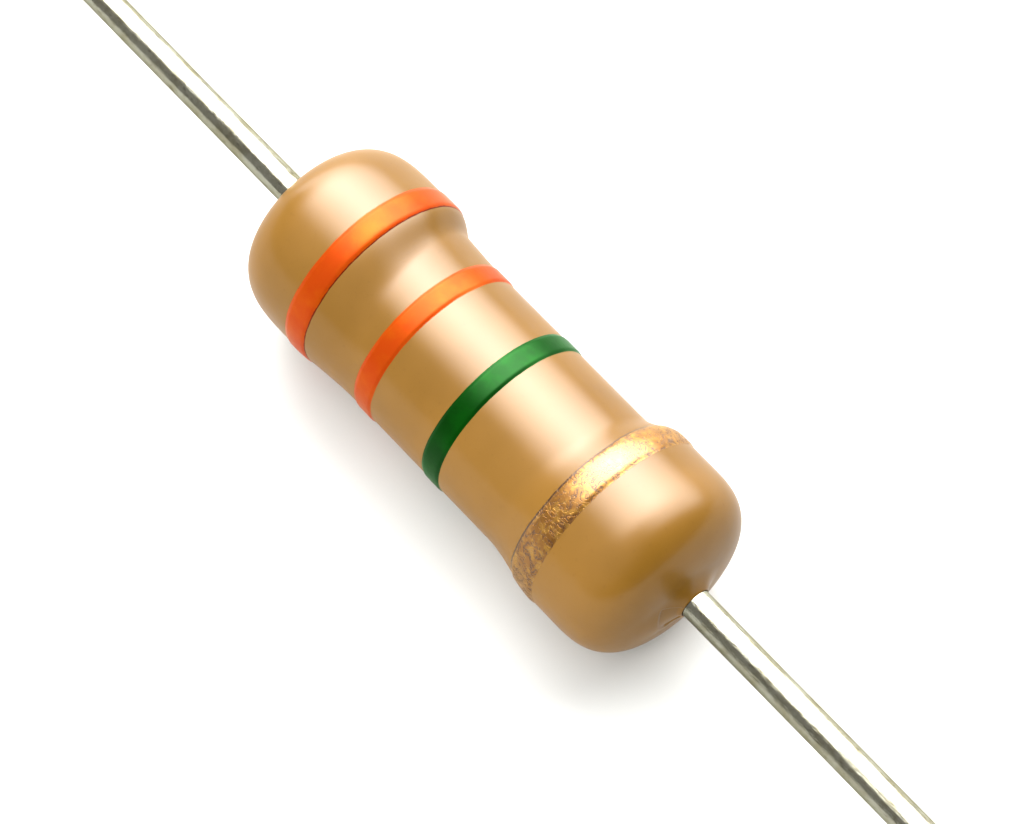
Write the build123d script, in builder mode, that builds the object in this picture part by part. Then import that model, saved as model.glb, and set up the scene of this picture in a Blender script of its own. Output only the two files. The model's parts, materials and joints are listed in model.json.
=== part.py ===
from build123d import *
import os

os.makedirs("parts", exist_ok=True)

# An axial carbon-film resistor, lying along X. All sizes are in millimetres.
# The origin is on the lead axis, midway along the lacquered body. The first digit's band is at
# the left, -X end, and the tolerance band is at the right, +X end.

# ---- Outside ----
body_length = 12.2  # lacquered body, from end face to end face
body_diameter = 4.5  # over the lacquer of the left bulge
lead_diameter = 0.70
lead_length = 28.0  # bare wire beyond each end face of the body
lead_end_chamfer = 0.06  # left by the cutter

# ---- Lacquer coat ----
lacquer_on_left_cap = 0.32
lacquer_on_right_cap = 0.35  # the right bulge is a little fatter
lacquer_on_film = 0.34
lacquer_on_end = 0.35
left_shoulder_length = 1.85  # from the end face to the full bulge
right_shoulder_length = 1.60
left_shoulder_squareness = 0.81  # curve handles as a share of each side; a round arc has 0.55
right_shoulder_squareness = 0.79
step_on_cap = 0.60  # the step down to the waist begins this far before the cap's rim
step_past_cap = 0.65  # and ends this far past it
meniscus_reach = 0.20  # lacquer that crept up the wire
meniscus_sagitta = 0.03

# ---- Paint bands ----
paint_thickness = 0.03
first_band_inset = 2.10  # from the left end face to the band's outer edge
first_band_width = 0.61
second_band_centre = -1.65
second_band_width = 0.54
third_band_centre = 0.51
third_band_width = 0.53
fourth_band_inset = 2.18  # from the right end face to the band's outer edge
fourth_band_width = 0.73

# ---- End caps ----
cap_wall = 0.25  # the cup's side and its floor
cap_depth = 2.65  # outside, floor to rim
cap_corner_radius = 0.50  # outside, between floor and side
cap_mouth_chamfer = 0.08  # leads the core in when the cap is pressed on
weld_flare = 0.20  # foot of the wire, where it is welded to the cap's floor
weld_rim = 0.05  # thickness at the edge of that foot

# ---- Core and film ----
film_thickness = 0.03
core_edge_clearance = 0.05  # between the core's rounded edge and the cap's inside corner
groove_width = 0.22
groove_pitch = 0.62
groove_depth = 0.07  # through the film and into the ceramic
groove_margin = 0.35  # from each cap's rim to the groove's end

# ---- Worked out from the sizes above ----
end_face = body_length / 2
lead_radius = lead_diameter / 2
lead_tip = end_face + lead_length
left_bulge_radius = body_diameter / 2
cap_radius = left_bulge_radius - lacquer_on_left_cap
right_bulge_radius = cap_radius + lacquer_on_right_cap
film_radius = cap_radius - cap_wall
core_radius = film_radius - film_thickness
waist_radius = film_radius + lacquer_on_film
cap_face = end_face - lacquer_on_end
cap_rim = cap_face - cap_depth
core_end = cap_face - cap_wall
cap_inner_corner_radius = cap_corner_radius - cap_wall
core_edge_radius = cap_inner_corner_radius + core_edge_clearance
meniscus_radius = lead_radius + meniscus_reach
meniscus_tip = end_face + meniscus_reach
step_top = cap_rim + step_on_cap
step_foot = cap_rim - step_past_cap
step_handle = (step_on_cap + step_past_cap) / 3


# ---- Sections, drawn once in the XY plane with Y as the radius, then turned about X ----

# Wire with its welded foot, from the right cap's floor to the free end
with BuildSketch() as right_lead_section:
    with BuildLine():
        Polyline(
            (cap_face + weld_rim + weld_flare, lead_radius),
            (lead_tip - lead_end_chamfer, lead_radius),
            (lead_tip, lead_radius - lead_end_chamfer),
            (lead_tip, 0),
            (cap_face, 0),
            (cap_face, lead_radius + weld_flare),
            (cap_face + weld_rim, lead_radius + weld_flare),
        )
        RadiusArc(
            (cap_face + weld_rim, lead_radius + weld_flare),
            (cap_face + weld_rim + weld_flare, lead_radius),
            -weld_flare,
        )
    make_face()

# Outside of the right cap, filled
with BuildSketch() as right_cap_outline:
    with Locations((cap_rim, 0)):
        Rectangle(cap_depth, cap_radius, align=(Align.MIN, Align.MIN))
    outer_corner = right_cap_outline.vertices().sort_by(Axis.X)[-2:].sort_by(Axis.Y)[-1]
    fillet(outer_corner, cap_corner_radius)

# Everything under the lacquer, filled
with BuildSketch() as element_section:
    Rectangle(2 * cap_rim, film_radius, align=(Align.CENTER, Align.MIN))
    add(right_cap_outline.sketch)
    add(right_lead_section.sketch)
    mirror(right_cap_outline.sketch, about=Plane.YZ)
    mirror(right_lead_section.sketch, about=Plane.YZ)


# Outside of the lacquered body, filled, with a layer of paint over it if paint is not zero
def body_outline(paint=0.0):
    left_radius = left_bulge_radius + paint
    right_radius = right_bulge_radius + paint
    middle_radius = waist_radius + paint
    left_handle = left_shoulder_length * (1 - left_shoulder_squareness)
    right_handle = right_shoulder_length * (1 - right_shoulder_squareness)
    with BuildSketch() as outline:
        with BuildLine():
            SagittaArc((-meniscus_tip, lead_radius), (-end_face, meniscus_radius), -meniscus_sagitta)
            Bezier(
                (-end_face, meniscus_radius),
                (-end_face, left_shoulder_squareness * left_radius),
                (-end_face + left_handle, left_radius),
                (-end_face + left_shoulder_length, left_radius),
            )
            Line((-end_face + left_shoulder_length, left_radius), (-step_top, left_radius))
            Bezier(
                (-step_top, left_radius),
                (-step_top + step_handle, left_radius),
                (-step_foot - step_handle, middle_radius),
                (-step_foot, middle_radius),
            )
            Line((-step_foot, middle_radius), (step_foot, middle_radius))
            Bezier(
                (step_foot, middle_radius),
                (step_foot + step_handle, middle_radius),
                (step_top - step_handle, right_radius),
                (step_top, right_radius),
            )
            Line((step_top, right_radius), (end_face - right_shoulder_length, right_radius))
            Bezier(
                (end_face - right_shoulder_length, right_radius),
                (end_face - right_handle, right_radius),
                (end_face, right_shoulder_squareness * right_radius),
                (end_face, meniscus_radius),
            )
            SagittaArc((end_face, meniscus_radius), (meniscus_tip, lead_radius), -meniscus_sagitta)
            Polyline(
                (meniscus_tip, lead_radius),
                (meniscus_tip, 0),
                (-meniscus_tip, 0),
                (-meniscus_tip, lead_radius),
            )
        make_face()
    return outline.sketch


# Skin of paint over the whole body, from which the bands are taken
with BuildSketch() as paint_section:
    add(body_outline(paint_thickness))
    add(body_outline(), mode=Mode.SUBTRACT)

# Cutter of the helical trimming groove
with BuildPart() as groove_cutter:
    with BuildLine() as groove_path:
        Helix(
            pitch=groove_pitch,
            height=2 * (cap_rim - groove_margin),
            radius=film_radius,
            center=(-(cap_rim - groove_margin), 0, 0),
            direction=(1, 0, 0),
        )
    groove_start = groove_path.line @ 0
    across_groove = Plane(
        origin=groove_start,
        x_dir=(0, groove_start.Y, groove_start.Z),
        z_dir=groove_path.line % 0,
    )
    with BuildSketch(across_groove):
        Rectangle(2 * groove_depth, groove_width)
    sweep(path=groove_path.line, is_frenet=True)

# ---- Ceramic rod ----
with BuildPart() as ceramic_core:
    with BuildSketch(Plane.YZ):
        Circle(core_radius)
    extrude(amount=core_end, both=True)
    fillet(ceramic_core.edges().filter_by(GeomType.CIRCLE), core_edge_radius)
    add(groove_cutter.part, mode=Mode.SUBTRACT)

# ---- Carbon film on the rod's side, cut by the groove ----
with BuildPart() as carbon_film:
    with BuildSketch(Plane.YZ):
        Circle(film_radius)
        Circle(core_radius, mode=Mode.SUBTRACT)
    extrude(amount=core_end - core_edge_radius, both=True)
    add(groove_cutter.part, mode=Mode.SUBTRACT)

# ---- End caps, pressed over the film ----
with BuildPart() as right_end_cap:
    with BuildSketch():
        add(right_cap_outline.sketch)
        with BuildSketch(mode=Mode.SUBTRACT) as cap_bore:
            with Locations((cap_rim, 0)):
                Rectangle(cap_depth - cap_wall, film_radius, align=(Align.MIN, Align.MIN))
            bore_corners = cap_bore.vertices().group_by(Axis.Y)[-1].sort_by(Axis.X)
            fillet(bore_corners[-1], cap_inner_corner_radius)
    revolve(axis=Axis.X)
    mouth = right_end_cap.faces().sort_by(Axis.X)[0].edges().sort_by(SortBy.RADIUS)[0]
    chamfer(mouth, cap_mouth_chamfer)

with BuildPart() as left_end_cap:
    mirror(right_end_cap.part, about=Plane.YZ)

# ---- Leads ----
with BuildPart() as right_lead:
    with BuildSketch():
        add(right_lead_section.sketch)
    revolve(axis=Axis.X)

with BuildPart() as left_lead:
    mirror(right_lead.part, about=Plane.YZ)

# ---- Lacquer, which fills the groove ----
with BuildPart() as lacquer_coat:
    with BuildSketch():
        add(body_outline())
        add(element_section.sketch, mode=Mode.SUBTRACT)
    revolve(axis=Axis.X)
    add(groove_cutter.part)

# ---- Paint bands on the lacquer: centre along X and width ----
bands = {
    "first_digit_band": (-end_face + first_band_inset + first_band_width / 2, first_band_width),
    "second_digit_band": (second_band_centre, second_band_width),
    "multiplier_band": (third_band_centre, third_band_width),
    "tolerance_band": (end_face - fourth_band_inset - fourth_band_width / 2, fourth_band_width),
}
for band_name, (band_centre, band_width) in bands.items():
    with BuildPart() as band:
        with BuildSketch():
            add(paint_section.sketch)
            with Locations((band_centre, 0)):
                Rectangle(
                    band_width,
                    body_diameter,
                    align=(Align.CENTER, Align.MIN),
                    mode=Mode.INTERSECT,
                )
        revolve(axis=Axis.X)
    band.part.label = band_name
    export_step(band.part, f"parts/{band_name}.step")

# ---- Labels and files ----
ceramic_core.part.label = "ceramic_core"
export_step(ceramic_core.part, "parts/ceramic_core.step")
carbon_film.part.label = "carbon_film"
export_step(carbon_film.part, "parts/carbon_film.step")
left_end_cap.part.label = "left_end_cap"
export_step(left_end_cap.part, "parts/left_end_cap.step")
right_end_cap.part.label = "right_end_cap"
export_step(right_end_cap.part, "parts/right_end_cap.step")
left_lead.part.label = "left_lead"
export_step(left_lead.part, "parts/left_lead.step")
right_lead.part.label = "right_lead"
export_step(right_lead.part, "parts/right_lead.step")
lacquer_coat.part.label = "lacquer_coat"
export_step(lacquer_coat.part, "parts/lacquer_coat.step")
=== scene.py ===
import json
import math

import bmesh
import bpy
import numpy as np
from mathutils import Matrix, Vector, noise


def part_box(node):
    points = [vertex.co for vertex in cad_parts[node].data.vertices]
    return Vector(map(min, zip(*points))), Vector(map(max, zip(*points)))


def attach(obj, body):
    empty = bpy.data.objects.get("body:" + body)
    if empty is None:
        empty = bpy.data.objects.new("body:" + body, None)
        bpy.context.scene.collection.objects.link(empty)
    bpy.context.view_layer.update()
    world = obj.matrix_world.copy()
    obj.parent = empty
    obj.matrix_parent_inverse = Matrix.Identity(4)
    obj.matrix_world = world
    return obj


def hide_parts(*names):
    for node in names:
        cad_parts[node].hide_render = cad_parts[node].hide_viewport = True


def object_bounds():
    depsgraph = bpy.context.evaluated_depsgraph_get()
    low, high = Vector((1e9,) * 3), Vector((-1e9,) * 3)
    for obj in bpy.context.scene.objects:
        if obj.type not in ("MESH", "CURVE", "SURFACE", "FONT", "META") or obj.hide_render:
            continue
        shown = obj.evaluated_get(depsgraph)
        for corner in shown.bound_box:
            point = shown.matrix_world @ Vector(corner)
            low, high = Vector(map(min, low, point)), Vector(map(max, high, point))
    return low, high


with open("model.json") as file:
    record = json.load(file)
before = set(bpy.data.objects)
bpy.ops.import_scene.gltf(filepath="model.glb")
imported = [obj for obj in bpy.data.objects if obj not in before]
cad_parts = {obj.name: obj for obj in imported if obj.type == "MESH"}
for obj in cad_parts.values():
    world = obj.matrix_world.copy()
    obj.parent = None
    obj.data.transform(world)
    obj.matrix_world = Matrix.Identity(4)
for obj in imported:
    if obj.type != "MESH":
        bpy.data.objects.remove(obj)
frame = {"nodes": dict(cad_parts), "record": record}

cad_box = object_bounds()

# An axial carbon-film resistor, lying along X with its tolerance band at +X. Lengths below are in
# millimetres unless they come from the frame, which is in metres.
MM = 0.001

# ---------------------------------------------------------------- sizes read from the frame


def span(node, axis):
    """Lowest and highest place of a CAD node along one axis, in millimetres."""
    low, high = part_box(node)
    return low[axis] / MM, high[axis] / MM


mounts = {m["name"]: m for m in frame["record"]["mounts"]}
wire_radius = mounts["right_lead_pin"]["dims"]["r_mm"]
paint = span("tolerance_band", 2)[1] - span("lacquer_coat", 2)[1]
left_radius = span("first_digit_band", 2)[1] - paint
right_radius = span("tolerance_band", 2)[1] - paint
waist_radius = span("second_digit_band", 2)[1] - paint
coat_tip = span("lacquer_coat", 0)[1]
cap_face = span("right_end_cap", 0)[1]
cap_rim = span("right_end_cap", 0)[0]
cap_radius = span("right_end_cap", 2)[1]
film_radius = span("carbon_film", 2)[1]
weld_radius = span("right_lead", 2)[1]
wire_tip = span("right_lead", 0)[1]
floor_level = cad_box[0].z

# ---------------------------------------------------------------- form of the lacquered body

meniscus = 0.20  # how far the coat climbs each wire
meniscus_width = 0.58  # how far from the wire the climb begins
meniscus_curve = 2.4
end_face = coat_tip - meniscus
exit_lobe = math.radians(-98)  # the coat climbs the wire in a broader foot on this side
lobe_sharpness = 6
face_radius = 1.1  # the rings of an end are closer together inside this radius
seam = 0.03  # narrow dark gap round the wire where it leaves the coat
# A shallow hollow in the coat's foot beside the right wire: its depth, its nearest and farthest
# distance from the axis, the width of its edge, and how far round it reaches (1 is not at all).
chip_depth = 0.05
chip_inner, chip_outer, chip_edge = 0.38, 0.86, 0.06
chip_reach = 0.74
sag_reach = 0.9  # distance from the wire over which an end comes into line with the sagged body
# The rounded ends: how long each is, and how square (2 is an ellipse)
left_shoulder, left_power = 1.88, 3.2
right_shoulder, right_power = 1.60, 3.0
upper_side = math.radians(72)  # round the axis from +Z towards +Y; the coat is thinnest there
# The steps down to the waist: where each starts, how long it is, and how far the upper side moves
# the start and shortens the length.
left_step_start, left_step_length = -3.645, 1.285
left_step_shift, left_step_squeeze = 0.195, 0.705
right_step_start, right_step_length = 2.54, 1.18
right_step_shift, right_step_squeeze = 0.25, 0.39
waist_lean = 0.02  # how much thinner the waist is on the upper side
# The sag of the coat: how much, where it begins, how long it takes, and what the right end loses
waist_sag, sag_start, sag_length = 0.09, -3.6, 2.0
sag_loss, loss_start, loss_length = 0.02, 2.5, 1.5
lip_depth, lip_gap, lip_length = 0.01, 0.02, 0.12  # the coat's inner edge at the wire
cap_corner = 0.5
weld_rim = 0.05  # straight edge of the weld, before it curves in to the wire
weld_hollow = 0.25  # how far from the cap the coat's inside makes room for the weld
wire_chamfer = 0.06
wire_burr = 0.02  # how much the wire narrows halfway along its chamfer
wire_wear = 0.018  # depth of the drawn wire's marks, as a share of its radius
wear_stretch, wear_fineness, wear_base = 0.35, 2.6, 0.6  # their length, width and least depth
slack = 0.004  # clearance between the coat's inside and what it covers

# Fineness of the meshes: points round a ring, and rings along each stretch
body_around, face_stations, shoulder_stations, body_stations = 224, 26, 34, 190
band_around, band_steps = 512, 18
wire_around, wire_stations = 72, 620
corner_steps, flare_steps = 8, 6


def smooth(t):
    t = np.clip(t, 0.0, 1.0)
    return t * t * (3 - 2 * t)


def shoulder_radius(depth, length, full, power):
    """Radius of a shoulder at a depth from its end face."""
    rest = np.clip(1 - depth / length, 0.0, 1.0)
    return full * (1 - rest**power) ** (1 / power)


def body_radius(x, turn):
    """Radius of the lacquer at x, turn radians round the axis from +Z towards +Y."""
    side = np.cos(turn - upper_side)
    left = left_radius * np.ones_like(x)
    right = right_radius * np.ones_like(x)
    left_start = left_step_start + left_step_shift * side
    right_start = right_step_start + right_step_shift * side
    left_down = smooth((x - left_start) / (left_step_length - left_step_squeeze * side))
    right_up = smooth((x - right_start) / (right_step_length - right_step_squeeze * side))
    middle = waist_radius - waist_lean * side
    radius = left + (middle - left) * left_down + (right - middle) * right_up
    left_end = shoulder_radius(x + end_face, left_shoulder, left_radius, left_power)
    right_end = shoulder_radius(end_face - x, right_shoulder, right_radius, right_power)
    radius = np.where(x < left_shoulder - end_face, left_end, radius)
    return np.where(x > end_face - right_shoulder, right_end, radius)


def body_centre(x):
    """How far the coat sags off the wire's axis, away from the upper side."""
    sag = waist_sag * smooth((x - sag_start) / sag_length)
    sag = sag - sag_loss * smooth((x - loss_start) / loss_length)
    return -sag * math.sin(upper_side), -sag * math.cos(upper_side)


def on_body(x, turn, lift=0.0):
    """Point on the lacquer, raised along the radius by lift."""
    radius = body_radius(x, turn) + lift
    centre_y, centre_z = body_centre(x)
    return np.stack([x, centre_y + radius * np.sin(turn), centre_z + radius * np.cos(turn)], -1)


# ---------------------------------------------------------------- mesh helpers


def closed_ring_mesh(name, rings, capped):
    """Mesh from rings of points, shape (rings, points, 3) in mm. The rings close on themselves, or
    the first and the last get a cap."""
    count, around = rings.shape[:2]
    vertices = (rings.reshape(-1, 3) * MM).tolist()
    faces = []
    last = count - 1 if capped else count
    for i in range(last):
        j = (i + 1) % count
        for k in range(around):
            m = (k + 1) % around
            faces.append((i * around + k, j * around + k, j * around + m, i * around + m))
    if capped:
        for row, flip in ((0, False), (count - 1, True)):
            centre = rings[row].mean(0) * MM
            vertices.append(centre.tolist())
            for k in range(around):
                a, b = row * around + k, row * around + (k + 1) % around
                faces.append((b, len(vertices) - 1, a) if flip else (a, len(vertices) - 1, b))
    mesh = bpy.data.meshes.new(name)
    mesh.from_pydata(vertices, [], faces)
    mesh.validate()
    mesh.update()
    mesh.polygons.foreach_set("use_smooth", [True] * len(mesh.polygons))
    piece = bpy.data.objects.new(name, mesh)
    bpy.context.scene.collection.objects.link(piece)
    return piece


def outward(piece):
    """Turns the faces outwards if they were wound inwards."""
    bm = bmesh.new()
    bm.from_mesh(piece.data)
    if bm.calc_volume(signed=True) < 0:
        bmesh.ops.reverse_faces(bm, faces=bm.faces[:])
    bm.to_mesh(piece.data)
    bm.free()


def finish_piece(piece, node, material):
    outward(piece)
    piece.data.materials.append(material)
    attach(piece, "root")
    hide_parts(node)


# ---------------------------------------------------------------- node helpers


class Nodes:
    """Short hand for building a node tree."""

    def __init__(self, tree):
        self.tree = tree
        tree.nodes.clear()

    def add(self, kind, **values):
        node = self.tree.nodes.new("ShaderNode" + kind)
        for key, value in values.items():
            setattr(node, key, value)
        return node

    def put(self, node, socket, value):
        if hasattr(value, "links"):
            self.tree.links.new(value, node.inputs[socket])
        else:
            node.inputs[socket].default_value = value

    def math(self, operation, a, b=0.0, clamp=False):
        node = self.add("Math", operation=operation, use_clamp=clamp)
        self.put(node, 0, a)
        self.put(node, 1, b)
        return node.outputs[0]

    def ramp(self, value, low, high, out_low=0.0, out_high=1.0):
        """Value eased from out_low to out_high while it goes from low to high."""
        node = self.add("MapRange", interpolation_type="SMOOTHSTEP")
        self.put(node, "Value", value)
        self.put(node, "From Min", low)
        self.put(node, "From Max", high)
        self.put(node, "To Min", out_low)
        self.put(node, "To Max", out_high)
        return node.outputs["Result"]

    def mix(self, factor, a, b):
        node = self.add("Mix", data_type="RGBA")
        self.put(node, 0, factor)
        self.put(node, 6, a)
        self.put(node, 7, b)
        return node.outputs[2]

    def place(self, scale=(1, 1, 1)):
        """Object position in millimetres, stretched by scale."""
        coords = self.add("TexCoord").outputs["Object"]
        mapping = self.add("Mapping")
        self.put(mapping, "Vector", coords)
        mapping.inputs["Scale"].default_value = [s / MM for s in scale]
        return mapping.outputs["Vector"]

    def noise(self, vector, scale, detail=2.0, roughness=0.5, distortion=0.0):
        node = self.add("TexNoise")
        self.put(node, "Vector", vector)
        self.put(node, "Scale", scale)
        self.put(node, "Detail", detail)
        self.put(node, "Roughness", roughness)
        self.put(node, "Distortion", distortion)
        return node.outputs["Fac"]

    def rim_line(self, vector):
        """Ragged line where the mesh's rim value is high."""
        rim = self.add("Attribute", attribute_name="rim").outputs["Fac"]
        ragged = self.noise(vector, 7.0, 3, 0.6)
        return self.ramp(self.math("ADD", rim, self.math("SUBTRACT", ragged, 0.5)), 0.40, 0.65)

    def bump(self, height, distance, strength=1.0, normal=None):
        node = self.add("Bump")
        self.put(node, "Height", height)
        self.put(node, "Distance", distance * MM)
        self.put(node, "Strength", strength)
        if normal is not None:
            self.put(node, "Normal", normal)
        return node.outputs["Normal"]


def colour(r, g, b):
    """Scene-linear colour from 0 to 255 display values."""
    def linear(v):
        v = v / 255
        return v / 12.92 if v <= 0.04045 else ((v + 0.055) / 1.055) ** 2.4
    return (linear(r), linear(g), linear(b), 1.0)


def material(name, build):
    made = bpy.data.materials.new(name)
    made.use_nodes = True
    nodes = Nodes(made.node_tree)
    shader = nodes.add("BsdfPrincipled")
    output = nodes.add("OutputMaterial")
    made.node_tree.links.new(shader.outputs[0], output.inputs[0])
    for socket, value in build(nodes).items():
        nodes.put(shader, socket, value)
    return made


# ---------------------------------------------------------------- materials


def lacquer_look(n):
    place = n.place()
    cloudy = n.noise(place, 0.35, 3)
    speckle = n.noise(place, 9.0, 2)
    tone = n.mix(n.ramp(cloudy, 0.35, 0.65), colour(128, 89, 24), colour(138, 97, 32))
    tone = n.mix(n.ramp(speckle, 0.6, 0.8, 0.0, 0.12), tone, colour(96, 58, 12))
    waves = n.bump(n.noise(place, 0.9, 2), 0.02, 0.5)
    peel = n.bump(n.noise(place, 5.0, 3), 0.003, 0.25, waves)
    return {
        "Base Color": tone,
        "Roughness": n.ramp(cloudy, 0.3, 0.7, 0.32, 0.40),
        "Specular IOR Level": 0.08,
        "Specular Tint": (1.0, 0.88, 0.70, 1),
        "Coat Weight": 0.068,
        "Coat IOR": 4.0,
        "Coat Roughness": 0.24,
        "Normal": peel,
    }


def paint_look(light, dark, rim, sheen, metal):
    """Look of a paint from its two tones, the line on its rims, and its sheen."""
    def look(n):
        place = n.place()
        patch = n.noise(place, 1.2, 4, 0.6)
        fine = n.noise(place, 14.0, 3)
        tone = n.mix(n.ramp(patch, 0.35, 0.65), light, dark)
        tone = n.mix(n.ramp(fine, 0.6, 0.85, 0.0, 0.25), tone, dark)
        tone = n.mix(n.rim_line(place), tone, rim)
        return {
            "Base Color": tone,
            "Roughness": n.ramp(patch, 0.3, 0.7, 0.30, 0.38),
            "Metallic": metal,
            "Specular IOR Level": 0.06,
            "Specular Tint": sheen,
            "Coat Weight": 0.011,
            "Coat IOR": 4.0,
            "Coat Roughness": 0.30,
            "Normal": n.bump(fine, 0.004, 0.3),
        }
    return look


def gold_look(n):
    place = n.place()
    warp = n.noise(place, 3.6, 2, 0.5, 1.8)
    worms = n.math("ABSOLUTE", n.math("SUBTRACT", warp, 0.5))
    line = n.ramp(worms, 0.01, 0.05)
    flake = n.noise(place, 6.0, 2)
    tone = n.mix(line, colour(74, 38, 2), colour(126, 80, 10))
    tone = n.mix(n.ramp(flake, 0.45, 0.7, 0.0, 0.6), tone, colour(172, 126, 40))
    tone = n.mix(n.rim_line(place), tone, colour(66, 38, 8))
    return {
        "Base Color": tone,
        "Metallic": n.ramp(line, 0.0, 1.0, 0.20, 0.60),
        "Roughness": n.ramp(line, 0.0, 1.0, 0.50, 0.33),
        "Specular Tint": (1.0, 0.75, 0.40, 1),
        "Coat Weight": 0.090,
        "Coat IOR": 4.0,
        "Coat Roughness": 0.28,
        "Normal": n.bump(line, 0.012, 0.7),
    }


def wire_look(n):
    along = n.place((0.12, 1, 1))
    streak = n.noise(along, 9.0, 4, 0.6)
    blotch = n.noise(n.place(), 2.2, 4, 0.65)
    pits = n.noise(n.place((0.5, 1, 1)), 10.0, 3, 0.6)
    tone = n.mix(n.ramp(blotch, 0.35, 0.7), colour(152, 151, 136), colour(130, 126, 104))
    tone = n.mix(n.ramp(pits, 0.55, 0.75, 0.0, 0.6), tone, colour(84, 78, 56))
    drawn = n.bump(streak, 0.012, 0.6)
    return {
        "Base Color": tone,
        "Metallic": 1.0,
        "Specular Tint": colour(190, 188, 176),
        "Roughness": n.ramp(streak, 0.3, 0.7, 0.13, 0.24),
        "Normal": n.bump(pits, 0.010, 0.6, drawn),
    }


def ceramic_look(n):
    grain = n.noise(n.place(), 8.0, 5, 0.7)
    return {
        "Base Color": n.mix(n.ramp(grain, 0.3, 0.7), colour(236, 232, 222), colour(214, 208, 194)),
        "Roughness": n.ramp(grain, 0.3, 0.7, 0.55, 0.75),
        "Normal": n.bump(grain, 0.006, 0.5),
    }


def carbon_look(n):
    grain = n.noise(n.place(), 12.0, 4, 0.6)
    return {
        "Base Color": n.mix(n.ramp(grain, 0.35, 0.7), colour(30, 30, 32), colour(58, 57, 56)),
        "Roughness": n.ramp(grain, 0.3, 0.7, 0.35, 0.55),
        "Normal": n.bump(grain, 0.004, 0.4),
    }


def cap_look(n):
    drawn = n.noise(n.place((0.15, 1, 1)), 8.0, 3)
    spots = n.noise(n.place(), 4.0, 4, 0.6)
    return {
        "Base Color": n.mix(n.ramp(spots, 0.4, 0.75), colour(205, 204, 198), colour(150, 146, 136)),
        "Metallic": 1.0,
        "Roughness": n.ramp(spots, 0.3, 0.7, 0.25, 0.42),
        "Normal": n.bump(drawn, 0.006, 0.4),
    }


def floor_look(n):
    grain = n.noise(n.place(), 0.12, 3)
    return {
        "Base Color": n.mix(n.ramp(grain, 0.3, 0.7), (0.69, 0.70, 0.68, 1), (0.71, 0.72, 0.70, 1)),
        "Roughness": n.ramp(grain, 0.3, 0.7, 0.55, 0.65),
    }


lacquer = material("lacquer", lacquer_look)
orange_look = paint_look(
    light=colour(177, 70, 0),
    dark=colour(171, 57, 0),
    # rim: dark line along the band edges; on the first band's right edge it is painted shade
    rim=colour(100, 26, 2),
    sheen=(1.0, 0.66, 0.22, 1),
    metal=0.22,
)
orange = material("orange_paint", orange_look)
green_look = paint_look(
    light=colour(0, 62, 0),
    dark=colour(0, 48, 0),
    rim=colour(8, 28, 2),
    sheen=(0.3, 1.0, 0.36, 1),
    metal=0.30,
)
green = material("green_paint", green_look)
gold = material("gold_paint", gold_look)
wire = material("tinned_wire", wire_look)

# ---------------------------------------------------------------- lacquer coat


def end_rings(direction, full, length, power, turn):
    """Rings of one rounded end, from the wire out to where the shoulder is full."""
    first = np.linspace(wire_radius, face_radius, face_stations)
    start = math.asin((face_radius / full) ** (power / 2))
    angles = np.linspace(start, math.pi / 2, shoulder_stations)
    radii = np.concatenate([first, full * np.sin(angles[1:]) ** (2 / power)])
    around_foot = np.clip(np.cos(turn - exit_lobe), 0, 1)
    rings = []
    for base in radii:
        rest = max(0.0, 1 - (base / full) ** power) ** (1 / power)
        depth = length * (1 - rest)
        radius = base + seam * smooth((face_radius - base) / face_radius)
        reach = meniscus_width + around_foot**lobe_sharpness
        climb = np.clip(1 - (radius - wire_radius) / reach, 0, 1)
        chip = smooth((radius - chip_inner) / chip_edge) * smooth((chip_outer - radius) / chip_edge)
        chip = chip_depth * chip * smooth((around_foot - chip_reach) / chip_edge)
        x = end_face - depth + meniscus * climb**meniscus_curve
        if direction > 0:
            x = x - chip
        away = smooth((radius - wire_radius) / sag_reach)
        centre_y, centre_z = body_centre(direction * (end_face - depth))
        y = centre_y * away + radius * np.sin(turn)
        z = centre_z * away + radius * np.cos(turn)
        rings.append(np.stack([direction * x, y, z], -1))
    return rings


def lacquer_rings():
    turn = np.linspace(0, 2 * math.pi, body_around, endpoint=False)
    rings = end_rings(-1, left_radius, left_shoulder, left_power, turn)
    start, end = -end_face + left_shoulder, end_face - right_shoulder
    for x in np.linspace(start, end, body_stations)[1:-1]:
        rings.append(on_body(np.full(body_around, x), turn))
    rings += end_rings(1, right_radius, right_shoulder, right_power, turn)[::-1]
    # inside, back from the right wire to the left one: wire, weld, cap, film
    profile = [(coat_tip - lip_depth, wire_radius + lip_gap)]
    profile += [(coat_tip - lip_length, wire_radius + slack)]
    profile += [(cap_face + weld_hollow, wire_radius + slack)]
    profile += [(cap_face + weld_rim, weld_radius + slack), (cap_face + slack, weld_radius + slack)]
    for k in range(corner_steps + 1):
        a = math.pi / 2 * k / corner_steps
        x = cap_face + slack - cap_corner * (1 - math.cos(a))
        profile.append((x, cap_radius + slack - cap_corner * (1 - math.sin(a))))
    profile += [(cap_rim - slack, cap_radius + slack), (cap_rim - slack, film_radius + slack)]
    profile += [(-x, r) for x, r in reversed(profile)]
    for x, radius in profile:
        place = [np.full(body_around, x), radius * np.sin(turn), radius * np.cos(turn)]
        rings.append(np.stack(place, -1))
    return np.array(rings)


coat = closed_ring_mesh("lacquer_body", lacquer_rings(), capped=False)
finish_piece(coat, "lacquer_coat", lacquer)

# ---------------------------------------------------------------- paint bands

# Stations across a band, from -1 on its left edge to 1 on its right one, closer near the edges
band_stations = [math.sin((k / band_steps - 0.5) * math.pi) for k in range(band_steps + 1)]
band_sink = 0.003  # how deep the underside lies in the coat
# Thickness at an edge and what the middle adds, as shares of the paint's thickness, and the share
# of the half width over which it rises
band_edge, band_rise, band_slope = 0.04, 0.86, 0.30
# Where a rim line begins and how soon it is full, as shares of the half width
left_rim_start, left_rim_width = 0.80, 0.16
right_rim_start, right_rim_width = 0.86, 0.12
slow_waves, fast_waves, fast_share = 3, 11, 0.5  # unevenness of a band's edge


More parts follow.
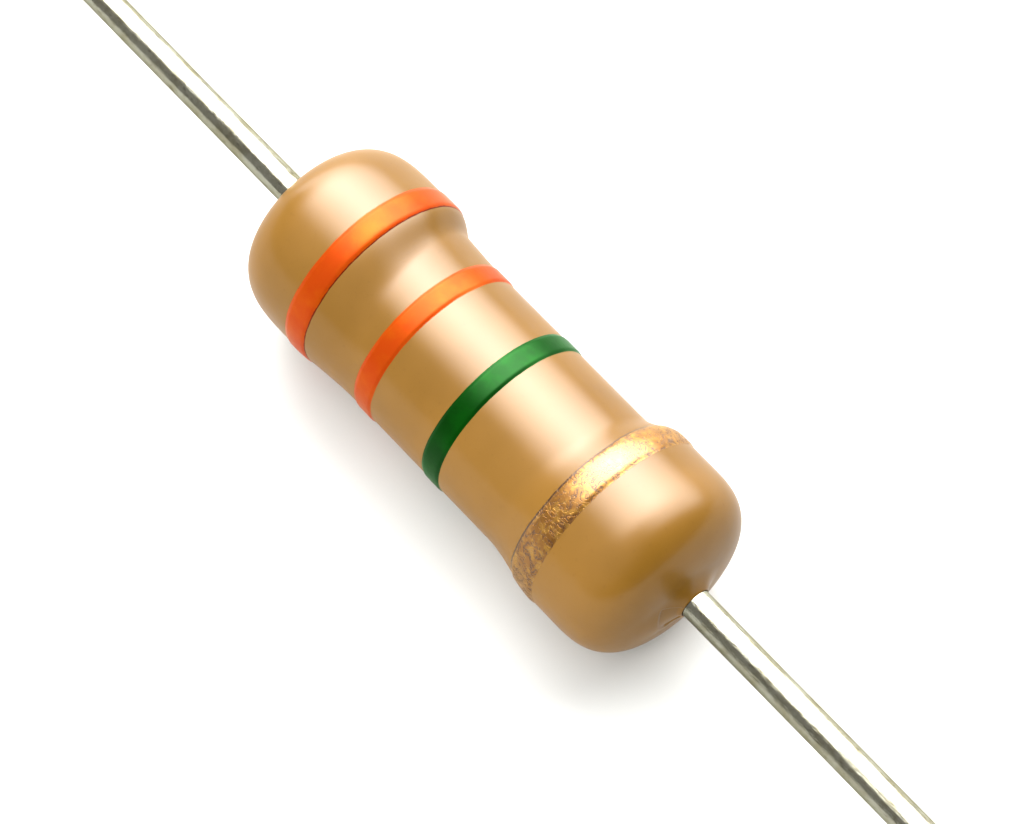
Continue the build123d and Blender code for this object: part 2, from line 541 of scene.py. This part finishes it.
def rim_value(u, left_rim, right_rim):
    """How strongly the rim line shows at u, from -1 on the left edge to 1 on the right one."""
    left_share = float(smooth((-u - left_rim_start) / left_rim_width))
    right_share = float(smooth((u - right_rim_start) / right_rim_width))
    return left_rim * left_share + right_rim * right_share


def ragged(turn, offset, size):
    """Uneven edge: a slow and a fast wave round the body, of about the given size."""
    edge = []
    for a in turn:
        across, up = math.sin(a), math.cos(a)
        slow = noise.noise(Vector((slow_waves * across, slow_waves * up, offset)))
        fast = noise.noise(Vector((fast_waves * across, fast_waves * up, offset + 7)))
        edge.append(size * (slow + fast_share * fast))
    return np.array(edge)


def band_rings(node, seed, wobble):
    """Rings of a paint band: its outer side from left to right, then its underside back."""
    turn = np.linspace(0, 2 * math.pi, band_around, endpoint=False)
    low, high = span(node, 0)
    left = low + ragged(turn, seed, wobble)
    right = high + ragged(turn, seed + 3, wobble)
    rings = []
    for u in band_stations:
        lift = paint * (band_edge + band_rise * float(smooth((1 - abs(u)) / band_slope)))
        rings.append(on_body((left + right) / 2 + (right - left) / 2 * u, turn, lift))
    for u in band_stations[::-1]:
        rings.append(on_body((left + right) / 2 + (right - left) / 2 * u, turn, -band_sink))
    return np.array(rings)


for node, seed, wobble, slot, look, left_rim, right_rim in (
    # The first band's strong dark line on its right edge (0.9), where the coat steps down to the
    # waist, is painted shade; the weaker rim values darken the other edges.
    ("first_digit_band", 1.3, 0.012, "orange_paint", orange, 0.3, 0.9),
    ("second_digit_band", 21.7, 0.008, "orange_paint", orange, 0.3, 0.3),
    ("multiplier_band", 42.1, 0.006, "green_paint", green, 0.3, 0.3),
    ("tolerance_band", 63.9, 0.018, "gold_paint", gold, 1.1, 0.2),
):
    rings = band_rings(node, seed, wobble)
    ring = closed_ring_mesh(node + "_paint", rings, capped=False)
    rims = [rim_value(u, left_rim, right_rim) for u in band_stations + band_stations[::-1]]
    attribute = ring.data.attributes.new("rim", "FLOAT", "POINT")
    attribute.data.foreach_set("value", np.repeat(rims, rings.shape[1]))
    finish_piece(ring, node, look)

# ---------------------------------------------------------------- leads


def wire_rings(direction, seed):
    turn = np.linspace(0, 2 * math.pi, wire_around, endpoint=False)
    flare = weld_radius - wire_radius
    profile = [(cap_face, weld_radius * 0.5), (cap_face, weld_radius)]
    profile.append((cap_face + weld_rim, weld_radius))
    for k in range(1, flare_steps + 1):
        a = math.pi / 2 * k / flare_steps
        radius = wire_radius + flare * (1 - math.sin(a))
        profile.append((cap_face + weld_rim + flare * math.sin(a), radius))
    start = profile[-1][0]
    for x in np.linspace(start, wire_tip - wire_chamfer, wire_stations)[1:]:
        profile.append((x, wire_radius))
    profile.append((wire_tip - wire_chamfer / 2, wire_radius - wire_burr))
    profile.append((wire_tip, wire_radius - wire_chamfer))
    profile.append((wire_tip, wire_radius * 0.5))
    rings = []
    for x, radius in profile:
        wear = wire_wear if x > coat_tip + 0.05 else 0.0
        rough = []
        for a in turn:
            across, up = wear_fineness * math.sin(a) + seed, wear_fineness * math.cos(a)
            rough.append(noise.noise(Vector((x * wear_stretch, across, up))))
        worn = radius * (1 - wear * (np.array(rough) + wear_base))
        place = [np.full(wire_around, direction * x), worn * np.sin(turn), worn * np.cos(turn)]
        rings.append(np.stack(place, -1))
    return np.array(rings)


for node, direction, seed in (("left_lead", -1, 5.0), ("right_lead", 1, 11.0)):
    lead = closed_ring_mesh(node + "_wire", wire_rings(direction, seed), capped=True)
    finish_piece(lead, node, wire)

# ---------------------------------------------------------------- pieces inside the coat

cap_steel = material("cap_steel", cap_look)
for node, look in (
    ("ceramic_core", material("core_ceramic", ceramic_look)),
    ("carbon_film", material("film_carbon", carbon_look)),
    ("left_end_cap", cap_steel),
    ("right_end_cap", cap_steel),
):
    mesh = frame["nodes"][node].data
    mesh.materials.clear()
    mesh.materials.append(look)

# ---------------------------------------------------------------- floor, light and camera


def make_floor():
    half = 0.6
    steps = 24
    line = np.linspace(-half, half, steps + 1)
    vertices = [(x, y, floor_level) for y in line for x in line]
    faces = []
    for j in range(steps):
        for i in range(steps):
            a = j * (steps + 1) + i
            faces.append((a, a + 1, a + steps + 2, a + steps + 1))
    mesh = bpy.data.meshes.new("floor")
    mesh.from_pydata(vertices, [], faces)
    floor = bpy.data.objects.new("floor", mesh)
    bpy.context.scene.collection.objects.link(floor)
    mesh.materials.append(material("floor", floor_look))


def make_world():
    """The room as glossy surfaces see it: one bright panel over the left end, a weaker wash beside
    it, and a dim rest. The lamps light the matt surfaces."""
    panel_light, wash_light = 15.0, 11.0
    dim_right, dim_left = 0.12, 0.50
    world = bpy.data.worlds.new("studio")
    bpy.context.scene.world = world
    world.use_nodes = True
    world.cycles_visibility.diffuse = False
    n = Nodes(world.node_tree)
    direction = n.add("TexCoord").outputs["Generated"]
    split = n.add("SeparateXYZ")
    n.put(split, 0, direction)
    x, y, z = split.outputs
    turn = n.math("ARCTAN2", y, z)

    def window(value, rise_start, rise_end, fall_start, fall_end):
        rise = n.ramp(value, rise_start, rise_end)
        return n.math("MULTIPLY", rise, n.ramp(value, fall_start, fall_end, 1.0, 0.0))

    def turns(*degrees):
        return window(turn, *[math.radians(a) for a in degrees])

    panel = n.math("MULTIPLY", turns(-34, 2, 24, 76), window(x, -0.94, -0.68, -0.26, 0.02))
    wash = n.math("MULTIPLY", turns(-10, 30, 64, 88), n.ramp(x, 0.45, 0.0))
    bright = n.math("MULTIPLY", panel, panel_light)
    light = n.math("ADD", bright, n.math("MULTIPLY", wash, wash_light))
    light = n.math("ADD", light, n.ramp(x, 0.5, -0.3, dim_right, dim_left))
    background = n.add("Background")
    n.put(background, "Strength", light)
    background.inputs["Color"].default_value = (1.0, 0.98, 0.97, 1)
    output = n.add("OutputWorld")
    world.node_tree.links.new(background.outputs[0], output.inputs[0])


def make_lamp(name, place, size, watts):
    """A round lamp at a place in metres, turned to the resistor and unseen in its reflections."""
    lamp = bpy.data.lights.new(name, "AREA")
    lamp.shape = "DISK"
    lamp.size = size
    lamp.energy = watts
    holder = bpy.data.objects.new(name, lamp)
    holder.location = place
    holder.rotation_euler = (-Vector(place)).to_track_quat("-Z", "Y").to_euler()
    holder.visible_glossy = False
    bpy.context.scene.collection.objects.link(holder)


def make_camera():
    azimuth, elevation, distance = math.radians(48.602), math.radians(64.123), 75.41
    along_axis, aside, below = 0.392, 0.180, 0.0995  # the point it looks at, off the middle
    back = Vector((
        math.sin(azimuth) * math.cos(elevation),
        -math.cos(azimuth) * math.cos(elevation),
        math.sin(elevation),
    ))
    right = Vector((math.cos(azimuth), math.sin(azimuth), 0))
    up = back.cross(right)
    aim = Vector((along_axis, 0, 0)) + aside * right - below * up
    data = bpy.data.cameras.new("camera")
    data.sensor_width = 36
    data.lens = 127.15
    data.clip_start = 0.001
    data.clip_end = 10
    camera = bpy.data.objects.new("camera", data)
    camera.location = (aim + back * distance) * MM
    camera.rotation_euler = (-back).to_track_quat("-Z", "Y").to_euler()
    bpy.context.scene.collection.objects.link(camera)
    bpy.context.scene.camera = camera


make_floor()
make_world()
make_lamp("dome", (-0.36, 0.60, 0.58), 1.6, 25.0)
make_lamp("fill", (-0.10, -0.55, 0.65), 1.6, 17.0)
make_lamp("key", (-0.16, 0.22, 0.30), 0.22, 0.25)
make_camera()
bpy.context.scene.view_settings.view_transform = "Standard"
